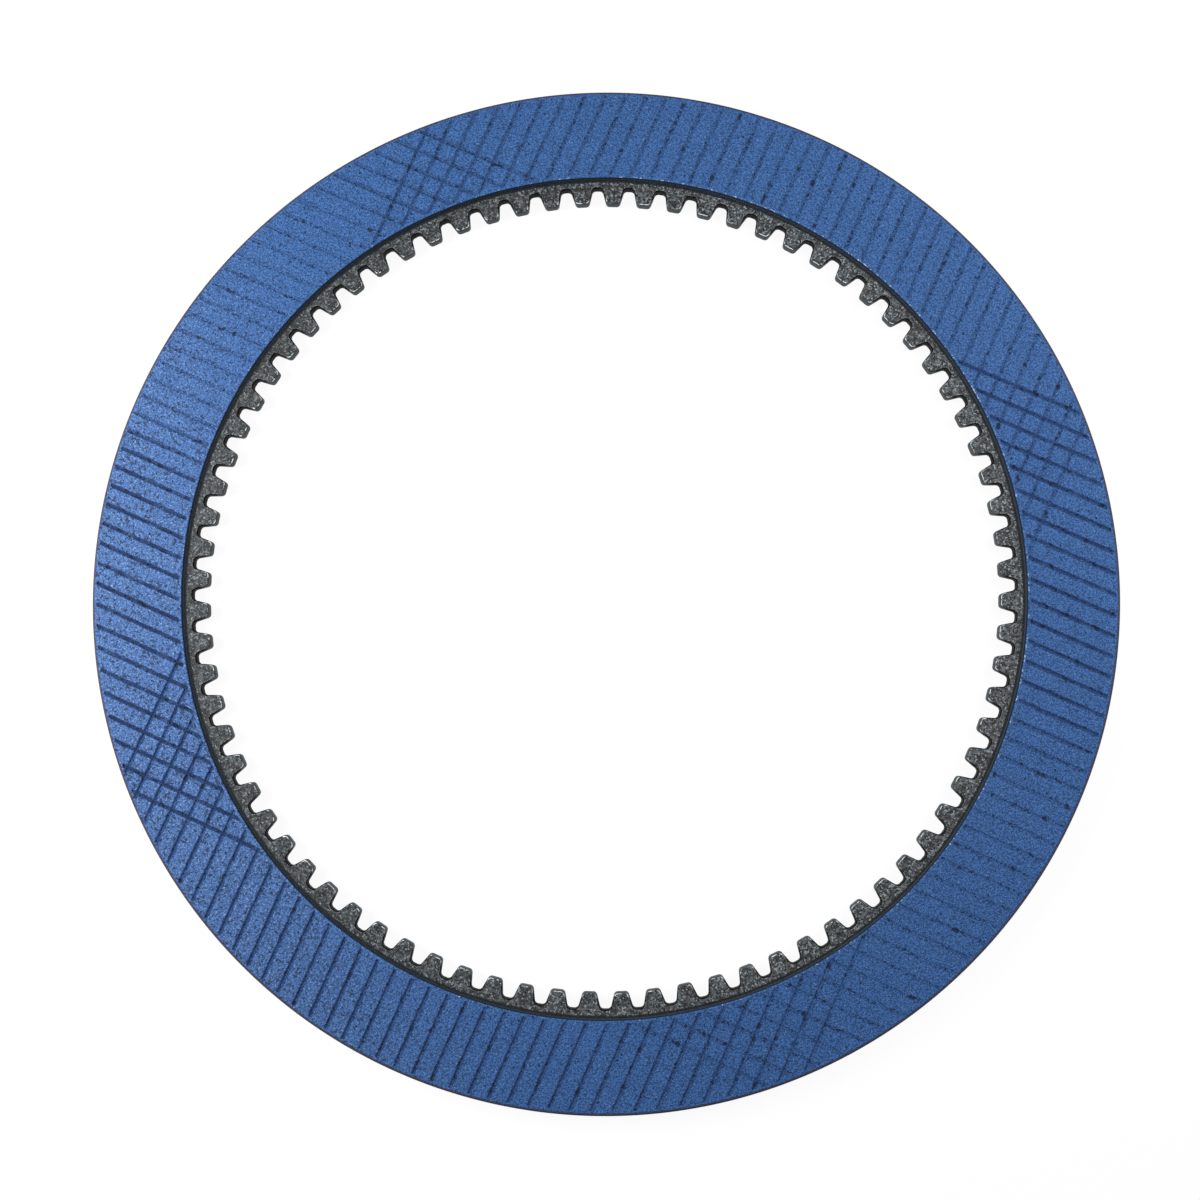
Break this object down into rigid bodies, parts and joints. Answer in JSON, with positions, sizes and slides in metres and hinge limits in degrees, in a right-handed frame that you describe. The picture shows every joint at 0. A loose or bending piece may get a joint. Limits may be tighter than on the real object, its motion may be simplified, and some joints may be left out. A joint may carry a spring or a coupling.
{
  "type": "clutch friction disc",
  "caption": "Flat steel ring with internal spline teeth and a blue friction facing with crossed grooves bonded to each side.",
  "frame": {"origin": "centre of the disc, halfway through its thickness, on the spline's axis", "axes": "+Z along the disc's axis, out of the front facing; the two gangs of grooves run along X and Y, and one spline tooth is centred on +X"},
  "size_m": [0.305, 0.305, 0.006],
  "materials": {
    "core_steel": "dark phosphated, satin",
    "friction_facing": "matt, resin-bonded fibre"
  },
  "bodies": {
    "root": {"core_plate": "core_steel", "front_facing": "friction_facing", "back_facing": "friction_facing"}
  },
  "joints": []
}
